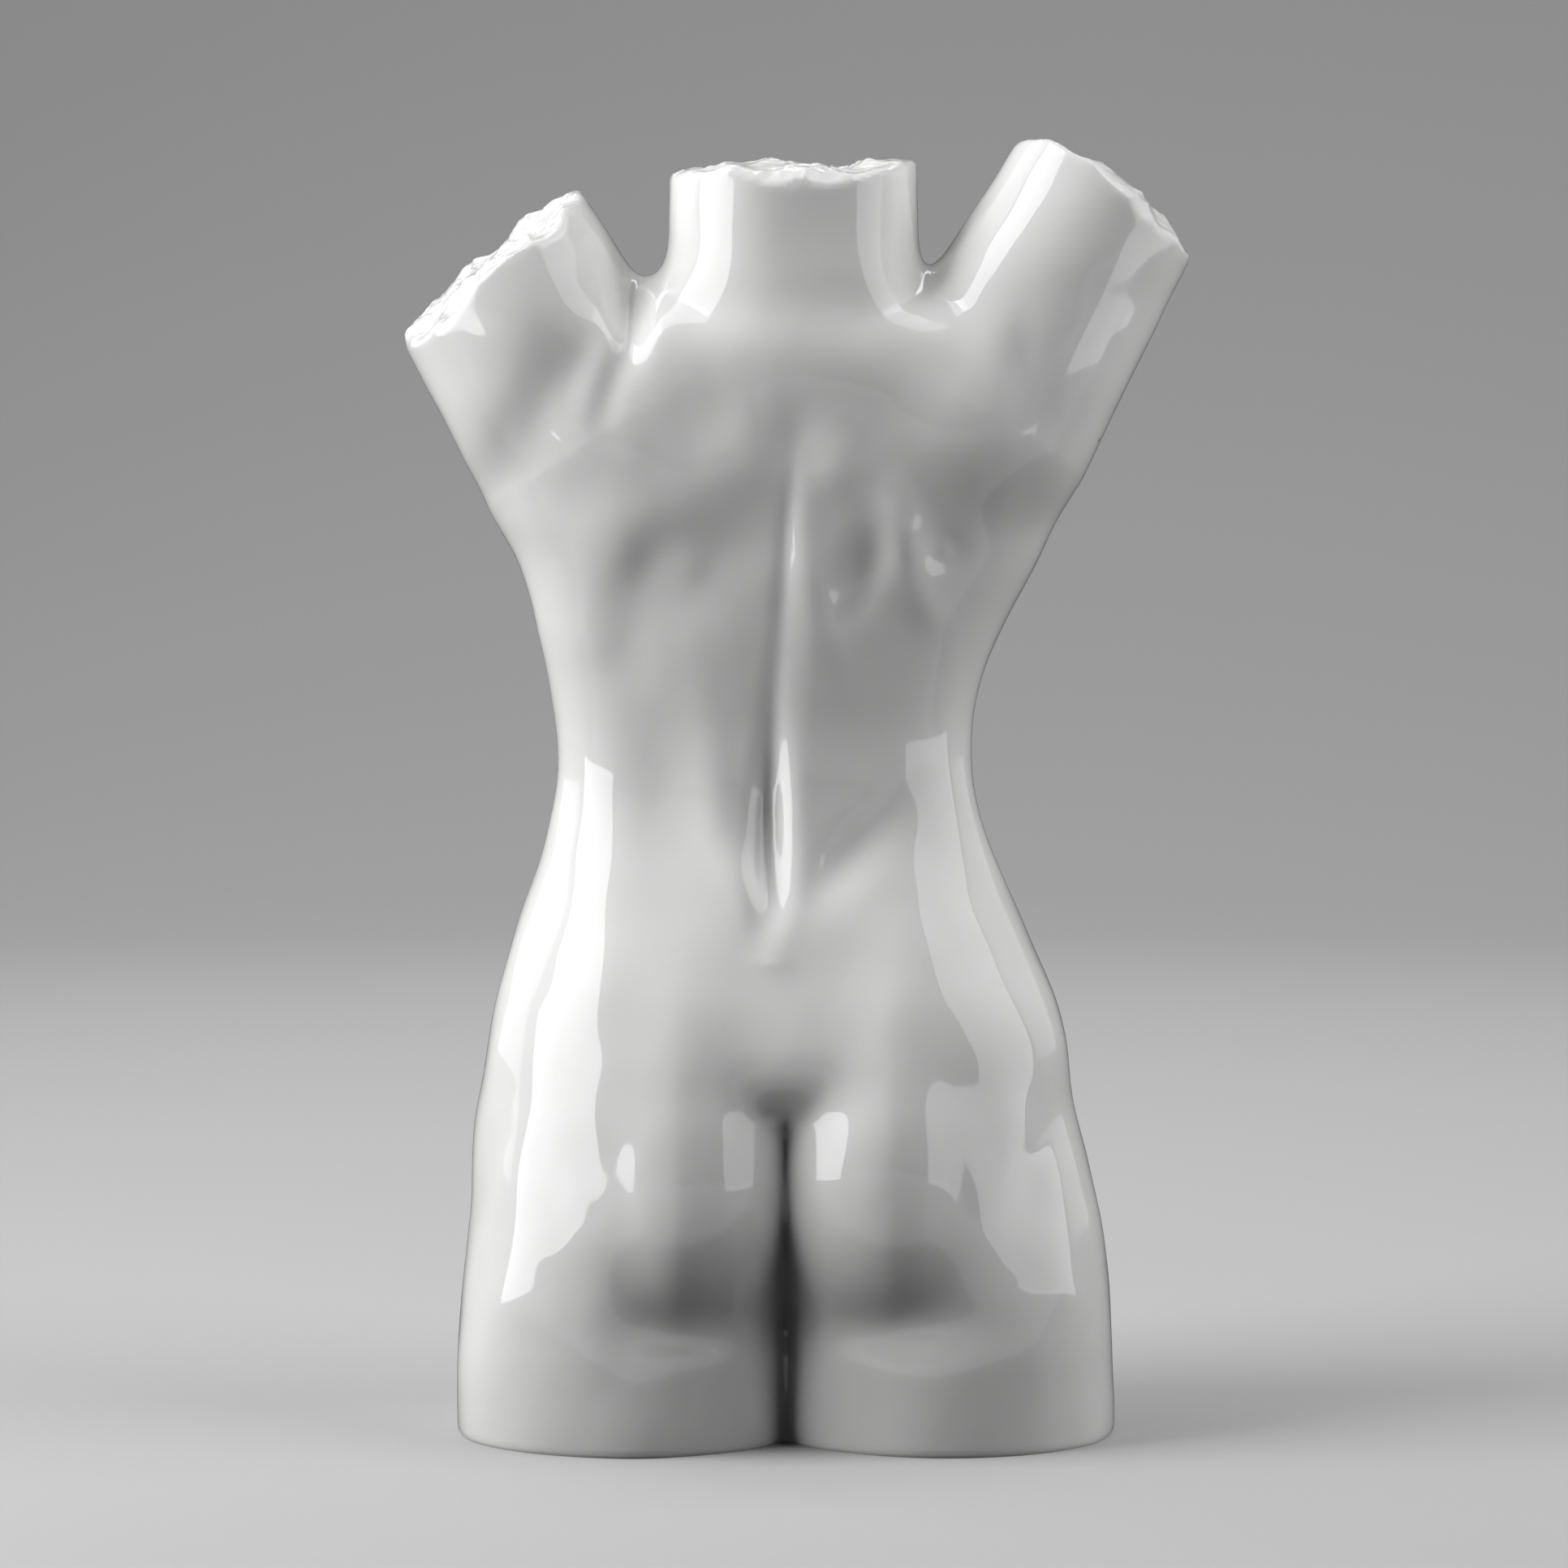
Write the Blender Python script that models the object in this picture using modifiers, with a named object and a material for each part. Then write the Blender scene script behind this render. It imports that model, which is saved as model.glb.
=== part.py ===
"""A small female torso in white glazed porcelain, cast as one piece.

It stands on its cut thighs and ends in breaks at the neck and at both raised arms, like an antique fragment.
The figure faces -Y, its own left side is at +X, +Z is up, and the origin is at the middle of its flat underside.
All sizes below are in millimetres; the mesh itself is in metres.
"""

import bmesh
import bpy
import numpy as np
from mathutils import Matrix, Vector

MM = 0.001

# How fine the sculpting mesh is, and how many triangles the finished solid keeps.
SCULPT_VOXEL = 1.7
FINAL_TRIANGLES = 9500

# Heights, and at each height how far the trunk reaches to its left, its right, its front and its back.
TRUNK_LEVELS = (
    # z, left, right, front, back
    (24, 47.0, 45.0, 27.0, 17.0),
    (42, 53.5, 42.5, 31.0, 18.5),
    (60, 56.2, 51.0, 33.0, 25.5),
    (76, 54.8, 51.4, 34.0, 28.5),
    (92, 50.3, 45.0, 34.0, 27.0),
    (108, 45.2, 38.2, 32.0, 21.3),
    (122, 42.6, 34.7, 29.5, 19.0),
    (136, 43.4, 35.4, 29.0, 20.0),
    (150, 46.0, 40.6, 30.0, 22.2),
    (164, 48.8, 47.2, 30.0, 23.8),
    (178, 51.2, 47.2, 28.5, 25.3),
    (192, 50.0, 45.0, 24.5, 25.5),
    (206, 40.0, 40.0, 19.0, 22.0),
    (216, 28.0, 30.0, 15.0, 18.0),
)
TRUNK_TOP = 206.0
TRUNK_BOTTOM = 30.0
TRUNK_SQUARENESS = 2.35

# Each thigh is a tapering tube: height, middle, half width, front and back.
THIGH_LEVELS = (
    (-6, 29.3, 31.9, 33.0, 32.0),
    (6, 29.3, 31.9, 33.2, 32.3),
    (18, 29.3, 31.6, 33.5, 31.6),
    (30, 29.4, 30.6, 33.5, 29.5),
    (50, 28.0, 28.4, 32.0, 27.0),
    (70, 26.0, 26.0, 29.0, 24.0),
)
THIGH_TOP = 60.0
THIGH_SQUARENESS = 2.4
FOOT_ROUNDING = 3.0
FOOT_DROP = 0.7  # the rounding carries on this far under the flat cut

# Buttocks: middle of each, left first, and half sizes across, in depth and in height.
BUTTOCK_MIDDLES = ((20.8, 13.5, 49.5), (-18.3, 13.5, 49.5))
BUTTOCK_HALF = (21.3, 24.8, 31.0)

# Between the buttocks the trunk draws back: height of the middle, half sizes across and in height, and depth.
CLEFT_MIDDLE = 44.0
CLEFT_HALF = (7.0, 12.0)
CLEFT_DEPTH = 9.0

# Breasts: middle of each, left first, and half sizes.
BREAST_MIDDLES = ((28.2, -20.5, 158.5), (-22.8, -21.5, 159.5))
BREAST_HALF = (19.0, 19.5, 18.0)

# Neck and arms: a point on each one's axis inside the body, the middle of its break and the radii at both.
LIMBS = {
    "neck": dict(root=(-1.4, 2.0, 190.0), top=(-1.4, -1.0, 233.0), radii=(23.2, 22.7)),
    "left arm": dict(root=(34.0, 3.0, 184.0), top=(54.8, 1.0, 217.5), radii=(24.5, 20.9)),
    "right arm": dict(root=(-35.9, 3.0, 188.0), top=(-58.6, 1.0, 228.5), radii=(21.8, 19.1)),
}

# Each broken face is made of flat facets: a point on it and which way it looks.
BREAKS = {
    "neck": (((0.0, 0.0, 233.4), (0.05, 0.0, 1.0)), ((-16.0, 19.0, 231.6), (-0.04, 0.36, 1.0))),
    "left arm": (((53.4, 0.9, 215.9), (0.640, 0.155, 0.768)),),
    "right arm": (((-58.1, 1.0, 227.9), (-0.55, -0.30, 0.80)), ((-65.5, 10.0, 225.3), (-0.62, 0.08, 0.75))),
}
# Points that stand up from the broken faces and dents in them: place, reach and height.
BREAK_CHIPS = (
    (38.5, 2.0, 229.0, 4.5, 1.7),
    (64.5, -8.0, 209.0, 5.0, 1.0),
    (-59.0, 14.0, 230.0, 5.0, 1.5),
    (-3.0, -4.0, 234.0, 5.0, 0.4),
    (-12.0, 0.0, 233.0, 4.0, -1.7),
    (7.0, 2.0, 234.0, 4.0, -1.2),
    (-42.0, 0.0, 234.0, 3.5, -1.0),
)
BREAK_EDGE = 2.5
# The roughness of the broken faces, coarse waves first: wave length and height.
BREAK_WAVES = ((17.0, 0.7), (9.0, 0.45), (5.5, 0.3))

# The spine's furrow: height, how far it lies to the left, its depth and its half width.
SPINE_LEVELS = (
    (90, 3.0, 0.0, 2.6),
    (96, 2.9, 1.2, 2.5),
    (106, 3.0, 2.7, 2.3),
    (117, 3.1, 2.8, 2.1),
    (128, 2.7, 1.9, 1.9),
    (140, 2.0, 1.4, 1.7),
    (156, 0.6, 1.3, 1.6),
    (172, -0.5, 1.1, 1.5),
    (180, -1.2, 0.3, 1.5),
    (186, -1.6, 0.0, 1.5),
)

# Modelling strokes: x, z, half length, half width, tilt in degrees and height.
# A stroke is a soft swelling, or a hollow where its height is negative; tilt leans its top towards the left side.
BACK_STROKES = (
    # left shoulder blade: its plate, the hollow under its edge, and the small tip with the dip beside it
    (19.0, 182.0, 11.0, 6.5, -60, 1.7),
    (14.0, 173.0, 11.0, 4.0, -60, -1.1),
    (17.4, 161.5, 3.0, 2.4, 0, 0.9),
    (25.0, 161.5, 5.0, 3.4, -20, -1.3),
    (29.0, 146.0, 6.0, 4.0, 0, -0.8),
    # the meeting of the blades, and the swelling to the right of it
    (-1.0, 183.5, 5.0, 4.0, 0, -1.4),
    (-9.5, 178.5, 5.0, 4.0, 0, 1.2),
    # right shoulder blade: its plate, its lower tip, the dimple outside it and the hollow inside it
    (-28.0, 186.0, 15.0, 7.0, 52, 1.5),
    (-21.0, 167.0, 6.0, 3.2, 12, 2.3),
    (-28.8, 164.0, 2.4, 2.4, 0, -1.5),
    (-14.2, 160.5, 5.5, 2.9, -24, -1.9),
    (-24.5, 155.0, 4.0, 2.4, 30, 0.8),
    # left shoulder: the deep hollow behind the arm, the ridge beside it and a small crease
    (44.5, 185.5, 8.0, 3.8, -34, -2.2),
    (47.5, 183.0, 3.6, 2.8, -34, -1.2),
    (38.5, 196.0, 7.0, 2.8, -34, -1.3),
    (34.5, 191.0, 8.0, 2.8, -22, 0.5),
    (30.5, 196.0, 6.0, 2.0, -18, -1.0),
    # right shoulder: a shallow hollow and a faint crease above it
    (-46.0, 183.0, 8.0, 5.5, 10, -2.0),
    (-42.8, 197.0, 6.0, 2.4, 0, -0.8),
    # the back of the left arm, and the turn of its side towards the neck
    (47.5, 209.0, 9.0, 6.0, 32, 1.3),
    (33.5, 213.0, 8.0, 4.0, 22, -1.2),
    # the slope from the neck to each shoulder
    (21.0, 210.5, 5.0, 4.5, -45, 1.6),
    (-20.0, 209.0, 6.0, 4.0, 45, 1.2),
    # creases where each arm meets the neck
    (28.5, 209.0, 6.5, 2.2, 6, -3.0),
    (-31.0, 209.0, 5.0, 2.0, 28, -1.6),
    # long muscles beside the spine
    (-4.3, 158.0, 13.0, 2.2, 4, 1.0),
    (-8.6, 149.0, 7.0, 1.9, 12, 0.6),
    (-3.6, 120.0, 14.0, 3.0, 2, 1.1),
    (12.8, 120.0, 10.0, 3.0, 6, 0.7),
    (7.0, 101.5, 8.0, 2.6, 32, 1.5),
    (-0.5, 98.0, 6.0, 2.4, -22, 0.9),
    # hollows outside them
    (22.5, 117.0, 13.0, 4.8, 2, -1.5),
    (-10.5, 107.5, 9.0, 3.2, -48, -1.7),
    # hips: the swelling over each hip bone and the hollow behind each thigh joint
    (-24.0, 93.0, 11.0, 7.0, -10, 1.9),
    (28.0, 93.0, 13.0, 8.0, 5, 1.3),
    (38.0, 101.0, 9.0, 5.0, 0, 0.8),
    # sacrum, and the hollow between each hip and buttock
    (0.5, 71.5, 9.0, 12.0, 0, 2.6),
    (32.5, 65.0, 9.0, 5.5, 0, -1.4),
    (42.0, 67.0, 15.0, 5.0, 3, 0.8),
    (-31.0, 66.0, 9.0, 5.5, 0, -0.8),
    (-38.0, 77.0, 13.0, 4.8, 8, 0.6),
    (43.6, 52.0, 9.0, 4.0, 6, -1.0),
    (-44.0, 53.0, 9.0, 4.0, -16, -1.2),
    # the fold under each buttock
    (17.0, 20.5, 8.0, 3.6, 90, -0.8),
    (-21.0, 20.0, 8.5, 3.6, 90, -1.0),
    # nape
    (-4.8, 222.0, 16.0, 6.0, 0, -0.9),
)
FRONT_STROKES = (
    # the slope from each collar bone down to the breast
    (24.0, 180.0, 10.0, 11.0, 0, 2.0),
    (-22.0, 181.0, 10.0, 11.0, 0, 2.0),
    # breastbone, midline of the belly and navel
    (2.0, 168.0, 16.0, 4.5, 0, -1.6),
    (2.6, 127.0, 15.0, 2.4, 0, -1.0),
    (2.6, 106.0, 2.2, 1.9, 0, -2.4),
    # arch of the ribs
    (17.0, 139.0, 11.0, 3.2, -48, 1.3),
    (-12.0, 139.0, 11.0, 3.2, 48, 1.3),
    # lower belly, groins and mound
    (1.8, 86.0, 13.0, 17.0, 0, 2.2),
    (26.0, 58.0, 15.0, 4.6, 44, -1.3),
    (-24.0, 58.0, 15.0, 4.6, -44, -1.3),
    (0.0, 44.0, 6.0, 8.0, 0, 1.4),
    # hip bones
    (40.0, 90.0, 7.0, 4.5, 35, 1.6),
    (-35.0, 90.0, 7.0, 4.5, -35, 1.6),
    # collar bones and the notch between them
    (16.0, 205.5, 10.0, 2.2, 72, 1.4),
    (-18.0, 205.5, 10.0, 2.2, -72, 1.4),
    (-0.8, 203.0, 3.4, 3.4, 0, -1.6),
)


def natural_spline(levels):
    """A smooth curve through rows of (station, value, value...), as a function of the station."""
    rows = np.array(levels, float)
    knots, values = rows[:, 0], rows[:, 1:]
    gap = np.diff(knots)
    slope = np.diff(values, axis=0) / gap[:, None]
    count = len(knots)
    system = np.eye(count)
    bend = np.zeros_like(values)
    for i in range(1, count - 1):
        system[i, i - 1 : i + 2] = gap[i - 1], 2 * (gap[i - 1] + gap[i]), gap[i]
        bend[i] = 6 * (slope[i] - slope[i - 1])
    bend = np.linalg.solve(system, bend)

    def at(station):
        s = np.clip(station, knots[0], knots[-1])
        i = np.clip(np.searchsorted(knots, s) - 1, 0, count - 2)
        b = ((s - knots[i]) / gap[i])[:, None]
        a = 1 - b
        lift = ((a**3 - a) * bend[i] + (b**3 - b) * bend[i + 1]) * gap[i][:, None] ** 2 / 6
        return (a * values[i] + b * values[i + 1] + lift).T

    return at


trunk_at = natural_spline(TRUNK_LEVELS)
thigh_at = natural_spline(THIGH_LEVELS)
spine_at = natural_spline(SPINE_LEVELS)


def seat_blend(p):
    """How softly the buttocks join the body: crisp at the fold below, longer above and to the sides."""
    above = 1 / (1 + np.exp((69 - p[:, 2]) / 4))
    aside = 1 / (1 + np.exp((30 - np.abs(p[:, 0])) / 3))
    return 6 + 10 * above + 14 * aside


def join(a, b, blend):
    """The union of two forms with a soft fillet between them."""
    near = np.maximum(blend - np.abs(a - b), 0) / blend
    return np.minimum(a, b) - near**3 * blend / 6


def trim(a, b, blend):
    """What two forms have in common, with a rounded edge."""
    return -join(-a, -b, blend)


def oval(across, deep, half_across, half_deep, power):
    """Distance-like value of an oval section: negative inside, 0 on its line."""
    ratio = (np.abs(across / half_across) ** power + np.abs(deep / half_deep) ** power) ** (1 / power)
    reach = np.hypot(across, deep)
    return reach * (1 - 1 / np.maximum(ratio, 1e-6))


def ball(p, middle, half):
    """Distance-like value of an ellipsoid."""
    q = p - np.array(middle)
    half = np.array(half)
    ratio = np.linalg.norm(q / half, axis=1)
    return np.linalg.norm(q, axis=1) * (1 - 1 / np.maximum(ratio, 1e-6))


def tube(p, root, top, radii):
    """Distance from a straight tube, round at its root, whose radius changes evenly from root to top."""
    root, top = np.array(root), np.array(top)
    length = np.linalg.norm(top - root)
    along = np.maximum((p - root) @ (top - root) / length, 0)
    out = np.linalg.norm(p - root - np.outer(along, (top - root) / length), axis=1)
    return out - radii[0] - (radii[1] - radii[0]) * along / length


def trunk(p):
    left, right, front, back = trunk_at(p[:, 2])
    section = oval(
        p[:, 0] - (left - right) / 2, p[:, 1] - (back - front) / 2,
        (left + right) / 2, (front + back) / 2, TRUNK_SQUARENESS,
    )
    section = trim(section, p[:, 2] - TRUNK_TOP, 18)
    return trim(section, TRUNK_BOTTOM - p[:, 2], 16)


def thigh(p, side):
    middle, half, front, back = thigh_at(p[:, 2])
    section = oval(
        p[:, 0] - side * middle, p[:, 1] - (back - front) / 2, half, (front + back) / 2, THIGH_SQUARENESS,
    )
    return trim(section, p[:, 2] - THIGH_TOP, 14)


def waves(p, rows, seed, each=5):
    """Gentle waves in scattered directions: rows of wave length and height."""
    chance = np.random.default_rng(seed)
    total = np.zeros(len(p))
    for length, height in rows:
        for _ in range(each):
            way = chance.normal(size=3)
            way *= 2 * np.pi / length / np.linalg.norm(way)
            total += height / 2 * np.sin(p @ way + chance.uniform(0, 2 * np.pi))
    return total


def limb(p, name):
    """The neck or an arm, a tube ending in its break."""
    form = side = tube(p, **LIMBS[name])
    relief = waves(p, BREAK_WAVES, 7) * (1 - 0.6 * np.exp(-(np.minimum(side, 0) ** 2) / 18))
    for *place, reach, height in BREAK_CHIPS:
        relief = relief - height * np.exp(-((p - np.array(place)) ** 2).sum(axis=1) / (2 * reach**2))
    for point, looks in BREAKS[name]:
        face = (p - np.array(point)) @ np.array(looks) / np.linalg.norm(looks)
        form = trim(form, face + relief, BREAK_EDGE)
    return form


def side_share(p, side):
    """1 on the back (side 1) or on the front (side -1) and 0 on the other, with a soft change between them."""
    return (1 + np.tanh(side * p[:, 1] / 6)) / 2


def stroke(p, x, z, length, width, tilt, height):
    """How much one modelling stroke raises the surface."""
    lean = np.radians(tilt)
    across, up = p[:, 0] - x, p[:, 2] - z
    u = (across * np.sin(lean) + up * np.cos(lean)) / length
    v = (across * np.cos(lean) - up * np.sin(lean)) / width
    return height * np.exp(-(u**2 + v**2) / 2)


def spine(p):
    """The depth of the spine's furrow."""
    x, depth, width = spine_at(p[:, 2])
    return depth * np.exp(-(((p[:, 0] - x) / width) ** 2) / 2)


def cleft(p):
    """How far the trunk draws back between the buttocks, so that they meet in a crease."""
    across, up = p[:, 0] / CLEFT_HALF[0], (p[:, 2] - CLEFT_MIDDLE) / CLEFT_HALF[1]
    return CLEFT_DEPTH * side_share(p, 1) * np.exp(-(across**2 + up**2) / 2)


def form(p):
    """The whole figure: negative inside, 0 on the surface, in millimetres."""
    legs = join(thigh(p, 1), thigh(p, -1), 6)
    seat = join(*[ball(p, middle, BUTTOCK_HALF) for middle in BUTTOCK_MIDDLES], 2.5)
    body = join(trunk(p) + cleft(p), legs, 14)
    body = join(body, seat, seat_blend(p))
    for middle in BREAST_MIDDLES:
        body = join(body, ball(p, middle, BREAST_HALF), 12)
    arms = join(limb(p, "left arm"), limb(p, "right arm"), 1)
    body = join(body, arms, 13)
    body = join(body, limb(p, "neck"), 9)
    back = sum(stroke(p, *row) for row in BACK_STROKES) - spine(p)
    front = sum(stroke(p, *row) for row in FRONT_STROKES)
    body = body - side_share(p, 1) * back - side_share(p, -1) * front
    return trim(body, -FOOT_DROP - p[:, 2], FOOT_ROUNDING)


def clear_scene():
    for obj in list(bpy.data.objects):
        bpy.data.objects.remove(obj)


def add_ball(bm, middle, half):
    placed = Matrix.Translation(middle) @ Matrix.Diagonal((*half, 1))
    bmesh.ops.create_uvsphere(bm, u_segments=32, v_segments=20, radius=1, matrix=placed)


def add_cone(bm, root, top, radii, squash=1.0):
    root, top = Vector(root), Vector(top)
    along = top - root
    turn = along.to_track_quat("Z", "Y").to_matrix().to_4x4()
    placed = Matrix.Translation((root + top) / 2) @ turn @ Matrix.Diagonal((1, squash, 1, 1))
    bmesh.ops.create_cone(
        bm, cap_ends=True, segments=40, radius1=radii[0], radius2=radii[1], depth=along.length, matrix=placed,
    )


def block_out():
    """The figure roughed out in simple solids, a little under its final size, in millimetres."""
    bm = bmesh.new()
    for side in (1, -1):
        add_cone(bm, (side * 29, 0, 0), (side * 27, 0, 60), (30, 26))
    for middle in BUTTOCK_MIDDLES:
        add_ball(bm, middle, [0.94 * s for s in BUTTOCK_HALF])
    add_ball(bm, (1, -2, 66), (52, 28, 38))
    add_cone(bm, (2, -3, 70), (4, -5, 124), (49, 37), 0.55)
    add_cone(bm, (4, -5, 124), (1, -2, 175), (37, 48), 0.55)
    add_ball(bm, (1, -1, 178), (46, 24, 34))
    for middle in BREAST_MIDDLES:
        add_ball(bm, middle, [0.92 * s for s in BREAST_HALF])
    for limb in LIMBS.values():
        root, top = Vector(limb["root"]), Vector(limb["top"])
        add_cone(bm, root, top - (top - root).normalized(), [r - 1.5 for r in limb["radii"]])
    mesh = bpy.data.meshes.new("torso")
    bm.to_mesh(mesh)
    bm.free()
    return mesh


def through_modifier(mesh, kind, settings):
    """The mesh as one modifier leaves it."""
    carrier = bpy.data.objects.new("carrier", mesh)
    bpy.context.scene.collection.objects.link(carrier)
    modifier = carrier.modifiers.new(kind.lower(), kind)
    for name, value in settings.items():
        setattr(modifier, name, value)
    result = bpy.data.meshes.new_from_object(carrier.evaluated_get(bpy.context.evaluated_depsgraph_get()))
    bpy.data.objects.remove(carrier)
    bpy.data.meshes.remove(mesh)
    result.name = "torso"
    return result


def fused(mesh):
    """One even closed skin around everything in the mesh."""
    return through_modifier(mesh, "REMESH", dict(mode="VOXEL", voxel_size=SCULPT_VOXEL))


def points_of(mesh):
    points = np.empty(len(mesh.vertices) * 3)
    mesh.vertices.foreach_get("co", points)
    return points.reshape(-1, 3)


def settled(points, steps):
    """Each point moved along the steepest way onto the surface of the form."""
    reach = 0.02
    for _ in range(steps):
        value = form(points)
        grade = np.stack([form(points + reach * axis) - value for axis in np.eye(3)], axis=1) / reach
        size = np.maximum((grade**2).sum(axis=1), 0.2)
        step = grade * (value / size)[:, None]
        far = np.maximum(np.linalg.norm(step, axis=1), 1e-9)
        points = points - step * np.minimum(1, 2.5 / far)[:, None]
    return points


def relaxed(points, edges, share):
    """Each point moved this share of the way to the mean of its neighbours."""
    total = np.zeros_like(points)
    count = np.zeros(len(points))
    for a, b in (edges.T, edges.T[::-1]):
        np.add.at(total, a, points[b])
        np.add.at(count, a, 1)
    return points + share * (total / count[:, None] - points)


def sculpt(mesh, rounds, share=0.5):
    """Draws the skin onto the form, easing it between the steps."""
    edges = np.empty(len(mesh.edges) * 2, int)
    mesh.edges.foreach_get("vertices", edges)
    edges = edges.reshape(-1, 2)
    points = points_of(mesh)
    for _ in range(rounds):
        points = settled(relaxed(points, edges, share), 2)
    mesh.vertices.foreach_set("co", points.ravel())
    mesh.update()


def thinned(mesh):
    """The same skin with only the triangles its shape needs."""
    mesh.calc_loop_triangles()
    share = FINAL_TRIANGLES / len(mesh.loop_triangles)
    return through_modifier(mesh, "DECIMATE", dict(ratio=share, use_collapse_triangulate=True))


def cut_flat(mesh):
    """Cuts the foot off level at z = 0 and closes it with one flat face."""
    bm = bmesh.new()
    bm.from_mesh(mesh)
    cut = bmesh.ops.bisect_plane(
        bm, geom=bm.verts[:] + bm.edges[:] + bm.faces[:], dist=1e-5,
        plane_co=(0, 0, 0), plane_no=(0, 0, -1), clear_outer=True,
    )
    rim = [e for e in cut["geom_cut"] if isinstance(e, bmesh.types.BMEdge)]
    bmesh.ops.contextual_create(bm, geom=rim)
    bm.to_mesh(mesh)
    bm.free()


def porcelain():
    material = bpy.data.materials.new("glazed_porcelain")
    material.use_nodes = True
    shader = material.node_tree.nodes["Principled BSDF"]
    shader.inputs["Base Color"].default_value = (0.87, 0.87, 0.86, 1)
    shader.inputs["Roughness"].default_value = 0.08
    shader.inputs["Metallic"].default_value = 0.0
    return material


def main():
    clear_scene()
    collection = bpy.data.collections.new("female_torso")
    bpy.context.scene.collection.children.link(collection)
    mesh = fused(block_out())
    sculpt(mesh, 8)
    mesh = fused(mesh)
    sculpt(mesh, 5)
    mesh = thinned(mesh)
    sculpt(mesh, 1, 0.2)
    mesh.transform(Matrix.Scale(MM, 4))
    cut_flat(mesh)
    torso = bpy.data.objects.new("torso", mesh)
    collection.objects.link(torso)
    torso.data.materials.append(porcelain())
    torso.data.shade_smooth()


main()
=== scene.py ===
"""The looks of a small female torso in white glazed porcelain.

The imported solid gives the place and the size. One piece replaces it: the same figure with the finer
modelling of the cast, its broken neck and arms, and its glaze. The figure faces -Y and is seen from behind,
from +Y. Sizes are in millimetres, apart from the studio's and the camera's. The finished mesh is in metres.
"""

import bmesh
import bpy
import numpy as np
from mathutils import Matrix, Vector


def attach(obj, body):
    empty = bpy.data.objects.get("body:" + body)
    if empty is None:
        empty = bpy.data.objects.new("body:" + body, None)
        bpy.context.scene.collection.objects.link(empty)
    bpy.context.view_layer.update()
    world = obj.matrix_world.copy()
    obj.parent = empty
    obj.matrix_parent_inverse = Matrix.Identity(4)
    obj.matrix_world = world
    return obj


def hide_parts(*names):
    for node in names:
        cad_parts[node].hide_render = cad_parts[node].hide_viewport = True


MM = 0.001

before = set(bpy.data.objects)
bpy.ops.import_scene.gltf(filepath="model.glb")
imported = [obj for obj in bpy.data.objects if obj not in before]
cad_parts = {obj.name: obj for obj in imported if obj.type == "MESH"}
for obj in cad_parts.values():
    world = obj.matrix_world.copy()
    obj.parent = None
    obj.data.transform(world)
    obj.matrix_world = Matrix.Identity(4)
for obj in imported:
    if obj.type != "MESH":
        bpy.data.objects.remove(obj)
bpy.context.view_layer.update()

# How fine the skin is everywhere, and how often its faces are halved on the broken ends.
SKIN_VOXEL = 1.15
BREAK_HALVINGS = 1
# How often the skin is drawn onto the form at first and after each halving, in how many steps each time, and
# how much it is eased before each time and before the last one.
FIRST_ROUNDS = 3
HALVED_ROUNDS = 2
STEPS_A_ROUND = 2
EASE = 0.5
LAST_EASE = 0.2

# Heights, and at each height how far the trunk reaches to its left, its right, its front and its back.
TRUNK_LEVELS = (
    # z, left, right, front, back
    (24, 47.0, 45.0, 27.0, 17.0),
    (42, 53.5, 42.5, 31.0, 18.5),
    (60, 56.2, 51.0, 33.0, 28.5),
    (76, 54.8, 51.4, 34.0, 30.6),
    (92, 50.3, 45.0, 34.0, 26.4),
    (108, 45.2, 38.2, 32.0, 21.0),
    (122, 42.6, 34.7, 29.5, 19.0),
    (136, 43.4, 35.4, 29.0, 20.0),
    (150, 46.0, 40.6, 30.0, 22.2),
    (164, 48.8, 47.2, 30.0, 23.8),
    (178, 51.2, 47.2, 28.5, 25.3),
    (192, 50.0, 45.0, 24.5, 26.0),
    (206, 40.0, 40.0, 19.0, 25.0),
    (216, 28.0, 30.0, 15.0, 19.0),
)
TRUNK_TOP = 206.0
TRUNK_TOP_ROUNDING = 18
TRUNK_BOTTOM = 30.0
TRUNK_BOTTOM_ROUNDING = 16
TRUNK_SQUARENESS = 2.35

# Each thigh is a tapering tube: height, middle, half width, front and back.
THIGH_LEVELS = (
    (-6, 29.3, 31.9, 33.0, 29.6),
    (6, 29.3, 31.9, 33.2, 30.4),
    (18, 29.3, 31.6, 33.5, 31.1),
    (30, 29.4, 30.6, 33.5, 30.3),
    (50, 28.0, 28.4, 32.0, 27.0),
    (70, 26.0, 26.0, 29.0, 24.0),
)
THIGH_TOP = 60.0
THIGH_TOP_ROUNDING = 14
THIGH_SQUARENESS = 2.4
FOOT_ROUNDING = 3.0
FOOT_DROP = 0.7  # the rounding carries on this far under the flat cut

# Buttocks: middle of each, left first, and half sizes across, in depth and in height, with the greater
# height that they reach above their middles. The power below 2 brings their level cuts towards a diamond.
BUTTOCK_MIDDLES = ((19.2, 13.5, 46.6), (-18.9, 13.5, 46.6))
BUTTOCK_HALF = (24.4, 24.8, 29.8)
BUTTOCK_ABOVE = 44.0
BUTTOCK_POWER = 1.72
# Their fillet with the body: its width at the fold, and where it widens, how softly and by how much, above
# a height and outside a distance from the middle.
SEAT_FILLET = 6
SEAT_WIDER_ABOVE = (69, 4, 6)
SEAT_WIDER_ASIDE = (30, 3, 14)

# Between the buttocks the trunk draws back, and over them it stands out as the sacrum: height of the
# middle, half sizes across and in height, and depth or rise.
CLEFT_MIDDLE = 48.0
CLEFT_HALF = (7.0, 8.5)
CLEFT_DEPTH = 14.0
SACRUM_MIDDLE = 65.5
SACRUM_HALF = (7.5, 8.0)
SACRUM_RISE = 2.6

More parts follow.
